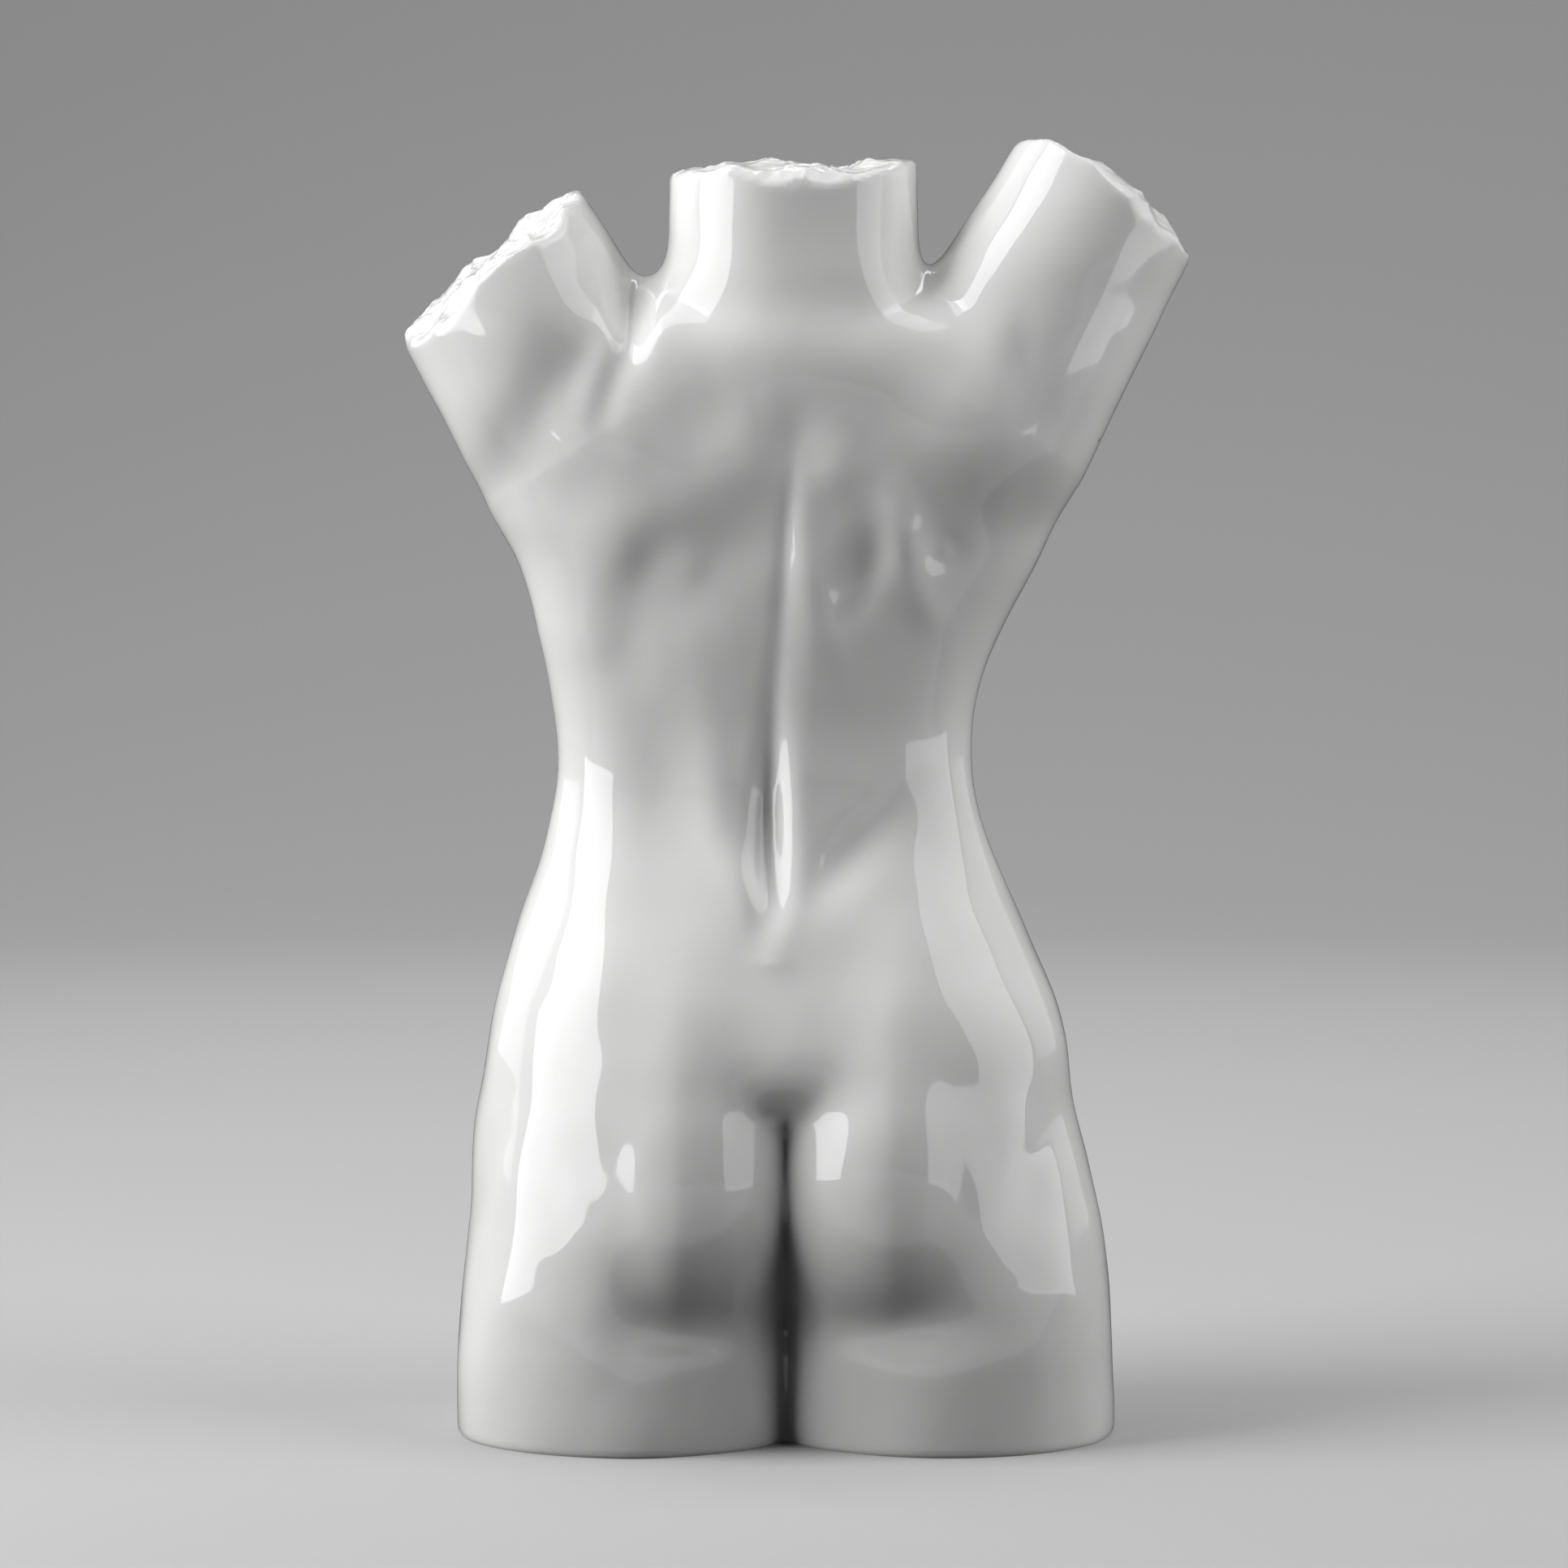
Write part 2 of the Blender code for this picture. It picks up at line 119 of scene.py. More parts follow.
# Breasts: middle of each, left first, and half sizes.
BREAST_MIDDLES = ((28.2, -20.5, 158.5), (-22.8, -21.5, 159.5))
BREAST_HALF = (19.0, 19.5, 18.0)

# Neck and arms: a point on each one's axis inside the body, the middle of its break and the radii at both.
LIMBS = {
    "neck": dict(root=(-1.4, 2.0, 190.0), top=(-1.4, 2.5, 233.0), radii=(23.2, 22.7)),
    "left arm": dict(root=(34.0, 1.8, 184.0), top=(54.8, 1.0, 217.5), radii=(24.5, 20.9)),
    "right arm": dict(root=(-35.9, 3.0, 188.0), top=(-58.6, 1.0, 228.5), radii=(21.8, 19.1)),
}

# Widths of the fillets where the other forms meet.
FILLETS = dict(thighs=6, legs=14, buttocks=2.5, breasts=12, both_arms=1, arms=13, neck=9)

# Each broken face is made of flat facets: a point on it and which way it looks.
BREAKS = {
    "neck": (((0.0, 0.0, 233.4), (0.05, 0.0, 1.0)), ((-16.0, 21.5, 231.6), (-0.04, 0.36, 1.0))),
    "left arm": (((53.4, 0.9, 215.9), (0.640, 0.155, 0.768)),),
    "right arm": (((-58.1, 1.0, 227.9), (-0.55, -0.30, 0.80)), ((-65.5, 10.0, 225.3), (-0.62, 0.08, 0.75))),
}
# Points that stand up from the broken faces and dents in them: place, reach and height.
BREAK_CHIPS = (
    (38.5, 2.0, 229.0, 4.5, 1.7),
    (64.5, -8.0, 209.0, 5.0, 1.0),
    (-59.0, 14.0, 230.0, 5.0, 1.5),
    (-3.0, -4.0, 234.0, 5.0, 0.4),
    (-12.0, 0.0, 233.0, 4.0, -1.7),
    (7.0, 2.0, 234.0, 4.0, -1.2),
    (-42.0, 0.0, 234.0, 3.5, -1.0),
)
BREAK_EDGE = 2.5
BREAK_REACH = 6  # how far round the end of a limb its relief is worked out
# The roughness of the broken faces, coarse waves first: wave length and height.
BREAK_WAVES = ((17.0, 0.7), (4.0, 0.12), (2.2, 0.07))
# Shallow curved scars meet in crisp ridges all over them: how far apart their middles are and their radius.
# The other values are shares of that spacing or of its square: how far a middle is moved at random, how much
# shallower a scar may be, and the level about which the relief rises and falls.
SCAR_SPACING = 7.5
SCAR_RADIUS = 9.0
SCAR_SHIFT = 0.45
SCAR_DROP = 0.25
SCAR_LEVEL = 0.3
# The relief is gentler at the rim: by this share, and over a width with this square.
RIM_GENTLER = 0.5
RIM_SQUARE = 10
# The surface counts as broken from just under the rim: how far below it that starts, over what height it
# grows to the full, and how far outside the limb it still counts.
RIM_BELOW = 4
RIM_FADE = 3
RIM_OUTSIDE = 3

# The spine's furrow: height, how far it lies to the left, its depth and its half width.
SPINE_LEVELS = (
    (90, 3.0, 0.0, 2.6),
    (96, 2.9, 1.2, 2.5),
    (106, 3.0, 2.7, 2.3),
    (117, 3.1, 2.8, 2.1),
    (128, 2.7, 1.5, 1.8),
    (140, 2.0, 0.7, 1.5),
    (156, 0.6, 0.5, 1.3),
    (172, -0.5, 0.5, 1.2),
    (180, -1.2, 0.2, 1.2),
    (186, -1.6, 0.0, 1.2),
)

# Modelling strokes: x, z, half length, half width, tilt in degrees and height.
# A stroke is a soft swelling, or a hollow where its height is negative. Tilt leans its top to the left side.
BACK_STROKES = (
    # left shoulder blade: the ridge along its edge and the hollow under that
    (18.5, 173.0, 14.0, 5.5, -55, 1.5),
    (11.4, 163.0, 13.0, 5.0, -55, -0.7),
    # the swelling outside it, the hollow over that, a small tip and the dips beside and below it
    (37.0, 152.5, 10.0, 7.0, -10, 1.8),
    (39.0, 173.5, 7.0, 8.0, -15, -1.3),
    (17.4, 161.5, 3.0, 2.4, 0, 0.5),
    (25.0, 161.5, 4.0, 2.6, -20, -0.6),
    (29.0, 146.0, 6.0, 4.0, 0, -0.8),
    # the meeting of the blades, and the swelling to the right of it
    (-1.0, 183.5, 5.0, 4.0, 0, -1.4),
    (-9.5, 178.5, 5.0, 4.0, 0, 1.2),
    # right shoulder blade: its plate and its lower tip
    (-28.0, 186.0, 15.0, 7.0, 52, 1.5),
    (-21.0, 167.0, 6.0, 3.2, 12, 2.3),
    # the dimple outside the tip with a bead in it, the hollow inside the tip and the swelling under it
    (-28.8, 164.0, 2.6, 2.6, 0, -0.9),
    (-28.8, 164.0, 1.2, 1.2, 0, 0.4),
    (-14.2, 160.5, 5.5, 2.9, -24, -1.9),
    (-24.5, 155.0, 4.0, 2.4, 30, 0.8),
    # left shoulder: the deep hollow behind the arm, the ridge outside it, and its ends below and inwards
    (47.0, 184.0, 16.0, 6.0, -30, -2.0),
    (53.5, 187.0, 12.0, 4.5, -28, 0.5),
    (42.0, 175.0, 8.0, 6.0, -20, -1.0),
    (34.0, 182.5, 8.0, 5.2, -25, -0.7),
    # two small creases above it with a ridge between them
    (38.5, 197.0, 7.0, 2.8, -34, -0.5),
    (34.5, 191.0, 8.0, 2.8, -22, 0.3),
    (30.5, 196.0, 6.0, 2.0, -18, -1.0),
    # right shoulder: a shallow hollow, its ends below and inwards, and a faint crease above it
    (-45.0, 180.0, 11.0, 8.0, 10, -0.7),
    (-43.0, 176.0, 7.0, 6.0, 15, -0.8),
    (-36.0, 184.0, 6.0, 4.5, 20, -0.4),
    (-42.8, 197.0, 6.0, 2.4, 0, -0.8),
    # the back of the left arm, and the turn of its side towards the neck
    (47.5, 209.0, 9.0, 6.0, 32, 1.3),
    (33.5, 213.0, 8.0, 4.0, 22, -1.2),
    # the slope from the neck to each shoulder, and to the back
    (21.0, 210.5, 5.0, 4.5, -45, 1.6),
    (-20.0, 209.0, 6.0, 4.0, 45, 1.2),
    (-1.0, 208.0, 7.0, 22.0, 0, 0.7),
    # creases where each arm meets the neck
    (28.5, 209.0, 6.5, 2.2, 6, -3.0),
    (-31.0, 207.0, 5.0, 2.8, 28, -0.6),
    # long muscles beside the spine, from the upper back to the two ridges that meet at its lower end
    (-4.3, 158.0, 13.0, 2.2, 4, 1.0),
    (-8.6, 149.0, 7.0, 1.9, 12, 0.6),
    (-3.6, 120.0, 14.0, 3.0, 2, 1.1),
    (12.8, 120.0, 10.0, 3.0, 6, 0.7),
    (7.0, 101.5, 8.0, 2.6, 32, 1.5),
    (-0.5, 98.0, 6.0, 2.4, -22, 0.9),
    # hollows outside them
    (22.5, 117.0, 13.0, 4.8, 2, -1.5),
    (-10.5, 107.5, 9.0, 3.2, -48, -1.7),
    # the swelling over each hip bone
    (-24.0, 93.0, 11.0, 7.0, -10, 1.9),
    (28.0, 93.0, 13.0, 8.0, 5, 1.3),
    (38.0, 101.0, 9.0, 5.0, 0, 0.8),
    # left hip: the faint hollow between hip and buttock, and the swelling outside it
    (33.5, 68.0, 9.0, 6.0, 0, -0.2),
    (43.5, 49.0, 15.0, 5.0, 3, 0.6),
    # right hip: the same two
    (-31.5, 62.0, 10.0, 5.5, 0, -0.8),
    (-39.0, 78.0, 13.0, 4.8, 8, 0.5),
    # the dimple behind the head of each thigh
    (43.6, 50.0, 7.0, 3.4, 6, -0.5),
    (-45.0, 51.0, 7.0, 3.0, -14, -1.2),
    # the ridge down the back of each thigh
    (29.0, 2.0, 17.0, 9.0, 0, 2.2),
    (-30.0, 2.0, 17.0, 9.0, 0, 2.0),
    # the fold under each buttock
    (17.5, 25.0, 8.0, 3.8, 90, -0.9),
    (-21.0, 24.5, 8.5, 3.8, 90, -1.0),
    # nape
    (-4.8, 222.0, 16.0, 6.0, 0, -0.9),
)
FRONT_STROKES = (
    # the slope from each collar bone down to the breast
    (24.0, 180.0, 10.0, 11.0, 0, 2.0),
    (-22.0, 181.0, 10.0, 11.0, 0, 2.0),
    # breastbone, midline of the belly and navel
    (2.0, 168.0, 16.0, 4.5, 0, -1.6),
    (2.6, 127.0, 15.0, 2.4, 0, -1.0),
    (2.6, 106.0, 2.2, 1.9, 0, -2.4),
    # arch of the ribs
    (17.0, 139.0, 11.0, 3.2, -48, 1.3),
    (-12.0, 139.0, 11.0, 3.2, 48, 1.3),
    # lower belly, groins and mound
    (1.8, 86.0, 13.0, 17.0, 0, 2.2),
    (26.0, 58.0, 15.0, 4.6, 44, -1.3),
    (-24.0, 58.0, 15.0, 4.6, -44, -1.3),
    (0.0, 44.0, 6.0, 8.0, 0, 1.4),
    # hip bones
    (40.0, 90.0, 7.0, 4.5, 35, 1.6),
    (-35.0, 90.0, 7.0, 4.5, -35, 1.6),
    # collar bones and the notch between them
    (16.0, 205.5, 10.0, 2.2, 72, 1.4),
    (-18.0, 205.5, 10.0, 2.2, -72, 1.4),
    (-0.8, 203.0, 3.4, 3.4, 0, -1.6),
)

# The faint unevenness of a cast and glazed surface: wave length and height.
CAST_WAVES = ((34.0, 0.15), (19.0, 0.09), (11.0, 0.035), (6.5, 0.01))
WAVES_OF_A_LENGTH = 5

# Where the draws of each kind of unevenness start.
BREAK_SEED = 7
SCAR_SEED = 11
CAST_SEED = 3

# The strokes of the back give way to those of the front over this depth at the figure's sides.
SIDE_CHANGE = 6

# Settling on the form: over what length its slope is measured, the least squared slope that is reckoned
# with, and the longest step.
SLOPE_REACH = 0.02
LEAST_SLOPE = 0.2
LONGEST_STEP = 2.5

FAR = 99.0  # farther from a break than anything near it
TINY = 1e-6  # keeps a divisor from being nothing
SAME_PLACE = 1e-5  # points closer than this are one
LOOKS_DOWN = -0.999  # the upright part of a face's direction, below which it looks straight down


def natural_spline(levels):
    """A smooth curve through rows of (station, value, value...), as a function of the station."""
    rows = np.array(levels, float)
    knots, values = rows[:, 0], rows[:, 1:]
    gap = np.diff(knots)
    slope = np.diff(values, axis=0) / gap[:, None]
    count = len(knots)
    system = np.eye(count)
    bend = np.zeros_like(values)
    for i in range(1, count - 1):
        system[i, i - 1 : i + 2] = gap[i - 1], 2 * (gap[i - 1] + gap[i]), gap[i]
        bend[i] = 6 * (slope[i] - slope[i - 1])
    bend = np.linalg.solve(system, bend)

    def at(station):
        s = np.clip(station, knots[0], knots[-1])
        i = np.clip(np.searchsorted(knots, s) - 1, 0, count - 2)
        b = ((s - knots[i]) / gap[i])[:, None]
        a = 1 - b
        lift = ((a**3 - a) * bend[i] + (b**3 - b) * bend[i + 1]) * gap[i][:, None] ** 2 / 6
        return (a * values[i] + b * values[i + 1] + lift).T

    return at


trunk_at = natural_spline(TRUNK_LEVELS)
thigh_at = natural_spline(THIGH_LEVELS)
spine_at = natural_spline(SPINE_LEVELS)


def seat_blend(p):
    """How softly the buttocks join the body: crisp at the fold below, longer above and to the sides."""
    blend = SEAT_FILLET
    for measure, wider in ((p[:, 2], SEAT_WIDER_ABOVE), (np.abs(p[:, 0]), SEAT_WIDER_ASIDE)):
        start, softness, gain = wider
        blend = blend + gain / (1 + np.exp((start - measure) / softness))
    return blend


def join(a, b, blend):
    """The union of two forms with a soft fillet between them."""
    near = np.maximum(blend - np.abs(a - b), 0) / blend
    return np.minimum(a, b) - near**3 * blend / 6


def trim(a, b, blend):
    """What two forms have in common, with a rounded edge."""
    return -join(-a, -b, blend)


def oval(across, deep, half_across, half_deep, power):
    """Distance-like value of an oval section: negative inside, 0 on its line."""
    ratio = (np.abs(across / half_across) ** power + np.abs(deep / half_deep) ** power) ** (1 / power)
    reach = np.hypot(across, deep)
    return reach * (1 - 1 / np.maximum(ratio, TINY))


def ball(p, middle, half, power=2.0, above=None):
    """Distance-like value of a round form, whose level cuts are ovals of the given power."""
    q = p - np.array(middle)
    across, deep, up = np.abs(q / np.array(half)).T
    if above:
        up = np.where(q[:, 2] > 0, q[:, 2] / above, up)
    ratio = np.hypot((across**power + deep**power) ** (1 / power), up)
    return np.linalg.norm(q, axis=1) * (1 - 1 / np.maximum(ratio, TINY))


def tube(p, root, top, radii):
    """Distance from a straight tube, round at its root, whose radius changes evenly from root to top."""
    root, top = np.array(root), np.array(top)
    length = np.linalg.norm(top - root)
    along = np.maximum((p - root) @ (top - root) / length, 0)
    out = np.linalg.norm(p - root - np.outer(along, (top - root) / length), axis=1)
    return out - radii[0] - (radii[1] - radii[0]) * along / length


def trunk(p):
    left, right, front, back = trunk_at(p[:, 2])
    section = oval(
        p[:, 0] - (left - right) / 2, p[:, 1] - (back - front) / 2,
        (left + right) / 2, (front + back) / 2, TRUNK_SQUARENESS,
    )
    section = trim(section, p[:, 2] - TRUNK_TOP, TRUNK_TOP_ROUNDING)
    return trim(section, TRUNK_BOTTOM - p[:, 2], TRUNK_BOTTOM_ROUNDING)


def thigh(p, side):
    middle, half, front, back = thigh_at(p[:, 2])
    section = oval(
        p[:, 0] - side * middle, p[:, 1] - (back - front) / 2, half, (front + back) / 2, THIGH_SQUARENESS,
    )
    return trim(section, p[:, 2] - THIGH_TOP, THIGH_TOP_ROUNDING)


def waves(p, rows, seed):
    """Gentle waves in scattered directions: rows of wave length and height."""
    chance = np.random.default_rng(seed)
    total = np.zeros(len(p))
    for length, height in rows:
        for _ in range(WAVES_OF_A_LENGTH):
            way = chance.normal(size=3)
            way *= 2 * np.pi / length / np.linalg.norm(way)
            total += height / 2 * np.sin(p @ way + chance.uniform(0, 2 * np.pi))
    return total


def scars(p, middle, reach):
    """Shallow bowls round scattered middles, each point lying in the nearest one."""
    chance = np.random.default_rng(SCAR_SEED)
    steps = np.arange(-reach, reach + 1, SCAR_SPACING)
    middles = np.stack(np.meshgrid(steps, steps, steps), axis=-1).reshape(-1, 3) + np.array(middle)
    middles += chance.uniform(-SCAR_SHIFT, SCAR_SHIFT, middles.shape) * SCAR_SPACING
    drops = chance.uniform(0, SCAR_DROP, len(middles)) * SCAR_SPACING**2
    nearest = np.full(len(p), np.inf)
    for place, drop in zip(middles, drops):
        nearest = np.minimum(nearest, ((p - place) ** 2).sum(axis=1) + drop)
    return (SCAR_LEVEL * SCAR_SPACING**2 - nearest) / (2 * SCAR_RADIUS)


def bump(p, place, reach):
    """1 at the place, falling softly away over the reach."""
    return np.exp(-((p - np.array(place)) ** 2).sum(axis=1) / (2 * reach**2))


def beyond(p, point, looks):
    """How far each point lies in front of the plane through a point that looks that way."""
    return (p - np.array(point)) @ np.array(looks) / np.linalg.norm(looks)


def limb(p, name):
    """The neck or an arm, a tube ending in its break."""
    side = tube(p, **LIMBS[name])
    top, radius = LIMBS[name]["top"], LIMBS[name]["radii"][1]
    near = np.linalg.norm(p - np.array(top), axis=1) < radius + BREAK_REACH
    q = p[near]
    rough = waves(q, BREAK_WAVES, BREAK_SEED) + scars(q, top, radius)
    for *place, reach, height in BREAK_CHIPS:
        rough = rough - height * bump(q, place, reach)
    relief = np.zeros(len(p))
    relief[near] = rough * (1 - RIM_GENTLER * np.exp(-(np.minimum(side[near], 0) ** 2) / RIM_SQUARE))
    ended = side
    for point, looks in BREAKS[name]:
        ended = trim(ended, beyond(p, point, looks) + relief, BREAK_EDGE)
    return ended


def side_share(p, side):
    """1 on the back (side 1) or on the front (side -1) and 0 on the other, with a soft change between."""
    return (1 + np.tanh(side * p[:, 1] / SIDE_CHANGE)) / 2


def stroke(p, x, z, length, width, tilt, height):
    """How much one modelling stroke raises the surface."""
    lean = np.radians(tilt)
    across, up = p[:, 0] - x, p[:, 2] - z
    u = (across * np.sin(lean) + up * np.cos(lean)) / length
    v = (across * np.cos(lean) - up * np.sin(lean)) / width
    return height * np.exp(-(u**2 + v**2) / 2)


def spine(p):
    """The depth of the spine's furrow."""
    x, depth, width = spine_at(p[:, 2])
    return depth * np.exp(-(((p[:, 0] - x) / width) ** 2) / 2)


def cleft(p):
    """How far the trunk draws back between the buttocks, less its rise over the sacrum."""
    drawn = stroke(p, 0, CLEFT_MIDDLE, CLEFT_HALF[1], CLEFT_HALF[0], 0, CLEFT_DEPTH)
    risen = stroke(p, 0, SACRUM_MIDDLE, SACRUM_HALF[1], SACRUM_HALF[0], 0, SACRUM_RISE)
    return side_share(p, 1) * (drawn - risen)


def form(p):
    """The whole figure: negative inside, 0 on the surface, in millimetres."""
    legs = join(thigh(p, 1), thigh(p, -1), FILLETS["thighs"])
    body = join(trunk(p) + cleft(p), legs, FILLETS["legs"])
    cheeks = [ball(p, middle, BUTTOCK_HALF, BUTTOCK_POWER, BUTTOCK_ABOVE) for middle in BUTTOCK_MIDDLES]
    body = join(body, join(*cheeks, FILLETS["buttocks"]), seat_blend(p))
    for middle in BREAST_MIDDLES:
        body = join(body, ball(p, middle, BREAST_HALF), FILLETS["breasts"])
    arms = join(limb(p, "left arm"), limb(p, "right arm"), FILLETS["both_arms"])
    body = join(body, arms, FILLETS["arms"])
    body = join(body, limb(p, "neck"), FILLETS["neck"])
    back = sum(stroke(p, *row) for row in BACK_STROKES) - spine(p)
    front = sum(stroke(p, *row) for row in FRONT_STROKES)
    body = body - side_share(p, 1) * back - side_share(p, -1) * front
    body = body - waves(p, CAST_WAVES, CAST_SEED)
    return trim(body, -FOOT_DROP - p[:, 2], FOOT_ROUNDING)


def points_of(mesh):
    points = np.empty(len(mesh.vertices) * 3)
    mesh.vertices.foreach_get("co", points)
    return points.reshape(-1, 3)


def slope_of(points, value):
    """Which way the form's value grows at each point, and how steeply."""
    steps = [form(points + SLOPE_REACH * axis) - value for axis in np.eye(3)]
    return np.stack(steps, axis=1) / SLOPE_REACH


def settled(points):
    """Each point moved along the steepest way onto the surface of the form."""
    for _ in range(STEPS_A_ROUND):
        value = form(points)
        grade = slope_of(points, value)
        size = np.maximum((grade**2).sum(axis=1), LEAST_SLOPE)
        step = grade * (value / size)[:, None]
        length = np.maximum(np.linalg.norm(step, axis=1), TINY)
        points = points - step * np.minimum(1, LONGEST_STEP / length)[:, None]
    return points


def relaxed(points, edges, share):
    """Each point moved this share of the way to the mean of its neighbours."""
    ends = np.concatenate([edges[:, 0], edges[:, 1]])
    others = np.concatenate([edges[:, 1], edges[:, 0]])
    count = np.bincount(ends, minlength=len(points))
    total = np.stack([np.bincount(ends, points[others, k], len(points)) for k in range(3)], axis=1)
    return points + share * (total / count[:, None] - points)


def sculpt(mesh, rounds, share=EASE):
    """Draws the skin onto the form, easing it between the steps."""
    edges = np.empty(len(mesh.edges) * 2, int)
    mesh.edges.foreach_get("vertices", edges)
    edges = edges.reshape(-1, 2)
    points = points_of(mesh)
    for _ in range(rounds):
        points = settled(relaxed(points, edges, share))
    mesh.vertices.foreach_set("co", points.ravel())
    mesh.update()


def fused(mesh, voxel):
    """One even closed skin around the mesh."""
    carrier = bpy.data.objects.new("carrier", mesh)
    bpy.context.scene.collection.objects.link(carrier)
    remesh = carrier.modifiers.new("remesh", "REMESH")
    remesh.mode = "VOXEL"
    remesh.voxel_size = voxel
    result = bpy.data.meshes.new_from_object(carrier.evaluated_get(bpy.context.evaluated_depsgraph_get()))
    bpy.data.objects.remove(carrier)
    bpy.data.meshes.remove(mesh)
    return result


def broken_share(p):
    """1 on the broken faces and 0 a few millimetres below their rims."""
    highest = np.full(len(p), -FAR)
    for name, facets in BREAKS.items():
        outside = tube(p, **LIMBS[name])
        over = np.max([beyond(p, *facet) for facet in facets], axis=0)
        highest = np.maximum(highest, np.where(outside < RIM_OUTSIDE, over, -FAR))
    return np.clip((highest + RIM_BELOW) / RIM_FADE, 0, 1)


def halve_broken_faces(mesh):
    """Splits the faces of the broken ends, so that their chips have enough points."""
    bm = bmesh.new()
    bm.from_mesh(mesh)
    middles = np.array([f.calc_center_median() for f in bm.faces])
    chosen = np.nonzero(broken_share(middles) > 0)[0]
    bm.faces.ensure_lookup_table()
    edges = {e for i in chosen for e in bm.faces[i].edges}
    bmesh.ops.subdivide_edges(bm, edges=list(edges), cuts=1, use_grid_fill=True)
    bmesh.ops.triangulate(bm, faces=[f for f in bm.faces if len(f.verts) > 4])
    bm.to_mesh(mesh)
    bm.free()


def cut_flat(mesh):
    """Cuts the foot off level at z = 0 and closes it with one flat face."""
    bm = bmesh.new()
    bm.from_mesh(mesh)
    cut = bmesh.ops.bisect_plane(
        bm, geom=bm.verts[:] + bm.edges[:] + bm.faces[:], dist=SAME_PLACE,
        plane_co=(0, 0, 0), plane_no=(0, 0, -1), clear_outer=True,
    )
    rim = [e for e in cut["geom_cut"] if isinstance(e, bmesh.types.BMEdge)]
    bmesh.ops.contextual_create(bm, geom=rim)
    bm.to_mesh(mesh)
    bm.free()


def shade(mesh, points):
    """Gives every corner the form's own slope, so that reflections run clean. The underside stays flat."""
    slope = slope_of(points, form(points))
    slope /= np.linalg.norm(slope, axis=1)[:, None]
    corners = np.empty(len(mesh.loops), int)
    mesh.loops.foreach_get("vertex_index", corners)
    normals = slope[corners]
    for face in mesh.polygons:
        if face.normal.z < LOOKS_DOWN and abs(face.center.z) < 10 * SAME_PLACE:
            for corner in face.loop_indices:
                normals[corner] = (0, 0, -1)
    mesh.shade_smooth()
    mesh.normals_split_custom_set(normals.tolist())


def make_torso():
    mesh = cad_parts["torso"].data.copy()
    mesh.materials.clear()
    mesh.transform(Matrix.Scale(1 / MM, 4))
    mesh = fused(mesh, SKIN_VOXEL)
    sculpt(mesh, FIRST_ROUNDS)
    for _ in range(BREAK_HALVINGS):
        halve_broken_faces(mesh)
        sculpt(mesh, HALVED_ROUNDS)
    sculpt(mesh, 1, LAST_EASE)
    cut_flat(mesh)
    points = points_of(mesh)
    broken = mesh.attributes.new("broken", "FLOAT", "POINT")
    broken.data.foreach_set("value", broken_share(points))
    shade(mesh, points)
    mesh.transform(Matrix.Scale(MM, 4))
    mesh.name = "porcelain_torso"
    torso = bpy.data.objects.new("porcelain_torso", mesh)
    bpy.context.scene.collection.objects.link(torso)
    return torso


# The glaze: its colours from thin to thick, and how rough it is where sound, on the breaks and on the foot.
GLAZE_COLOURS = ((0.815, 0.815, 0.81), (0.85, 0.85, 0.845))
SPECK_COLOUR = (0.16, 0.13, 0.10)
BARE_COLOUR = (0.74, 0.735, 0.72)
GLAZE_ROUGHNESS = (0.025, 0.055)
BREAK_ROUGHNESS = 0.13
BARE_ROUGHNESS = 0.62
BARE_HEIGHTS = (0.25, 0.7)  # the foot is bare below the first height and glazed above the second
# How large the features of each unevenness are, and how finely they are broken up.
COLOUR_CLOUDS = (30, 3.0)
SPECK_CLOUDS = (14, 2.0)
GLOSS_CLOUDS = (9, 3.0)
GLAZE_DIMPLES = (2.4, 1.0)
WORN_SPOTS = (2.0, 3.0)
CHIP_GRAINS = (0.8, 4.0)
CLAY_GRAINS = (0.5, 4.0)
SAND_GRAINS = (0.3, 3.0)
# Clouds lie about a half, and these are the values between which they are spread over their whole range.
CLOUD_SPREAD = (0.35, 0.65)
GRAIN_SPREAD = (0.3, 0.7)
# There is a speck in each cell where its clouds are this dense: cells in a metre, and a speck's inner and
# outer edge as shares of a cell.
SPECKS_A_METRE = 90.0
SPECK_EDGE = (0.03, 0.045)
SPECK_DENSITY = (0.62, 0.66)
CLAY_BRIGHTNESS = (0.9, 1.0)
# Relief of the surface that is too fine for the mesh: shares of its height, and that height in metres.
DIMPLE_SHARE = 0.05
CHIP_SHARE = 0.6
RELIEF_HEIGHT = 0.0001
RELIEF_STRENGTH = 0.35
# How the glaze bends light, and how much of the light goes how far through the body, in metres.
GLAZE_IOR = 1.5
THROUGH_SHARE = 0.12
THROUGH_REACH = 0.0015


